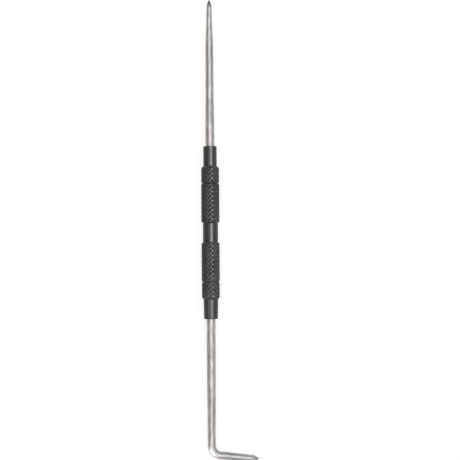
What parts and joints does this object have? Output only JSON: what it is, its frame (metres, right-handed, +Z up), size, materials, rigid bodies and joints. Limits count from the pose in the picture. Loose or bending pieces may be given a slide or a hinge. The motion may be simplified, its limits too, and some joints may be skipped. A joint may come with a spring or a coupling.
{
  "type": "double-ended scriber",
  "caption": "Double-ended scriber: knurled black steel handle with a collet chuck at each end, holding a long straight point and a point bent into a hook.",
  "frame": {"origin": "on the tool's axis at the middle of the handle's neck", "axes": "+X along the axis towards the straight point, +Z up from the surface the tool lies on, hook towards -Y"},
  "size_m": [0.2073, 0.0253, 0.0082],
  "materials": {
    "black_oxide": "black oxide on steel, satin, worn to grey on the knurl's crests",
    "ground_steel": "ground and polished tool steel",
    "spring_steel": "hardened spring steel, fine turned"
  },
  "bodies": {
    "handle": {"handle_barrel": "black_oxide"},
    "straight_collet": {"straight_end_collet": "spring_steel"},
    "straight_nut": {"straight_end_nut": "black_oxide"},
    "straight_point": {"straight_point": "ground_steel"},
    "bent_collet": {"bent_end_collet": "spring_steel"},
    "bent_nut": {"bent_end_nut": "black_oxide"},
    "bent_point": {"bent_point": "ground_steel"}
  },
  "joints": [
    {"name": "straight_collet_slide", "type": "slide", "parent": "handle", "child": "straight_collet", "axis": [1, 0, 0], "range_m": [0, 0.00635]},
    {"name": "straight_nut_turn", "type": "hinge", "parent": "straight_collet", "child": "straight_nut", "pos_m": [0.03, 0, 0], "axis": [1, 0, 0], "range_deg": [0, 3600]},
    {"name": "straight_point_draw", "type": "slide", "parent": "straight_collet", "child": "straight_point", "axis": [1, 0, 0], "range_m": [0, 0.022]},
    {"name": "bent_collet_slide", "type": "slide", "parent": "handle", "child": "bent_collet", "axis": [-1, 0, 0], "range_m": [0, 0.00635]},
    {"name": "bent_nut_turn", "type": "hinge", "parent": "bent_collet", "child": "bent_nut", "pos_m": [-0.03, 0, 0], "axis": [-1, 0, 0], "range_deg": [0, 3600]},
    {"name": "bent_point_swivel", "type": "hinge", "parent": "bent_collet", "child": "bent_point", "pos_m": [-0.03, 0, 0], "axis": [-1, 0, 0], "continuous": true}
  ],
  "couplings": [
    {"joint": "straight_nut_turn", "follows": "straight_collet_slide", "rad_per_m": 9894.8},
    {"joint": "bent_nut_turn", "follows": "bent_collet_slide", "rad_per_m": 9894.8}
  ]
}
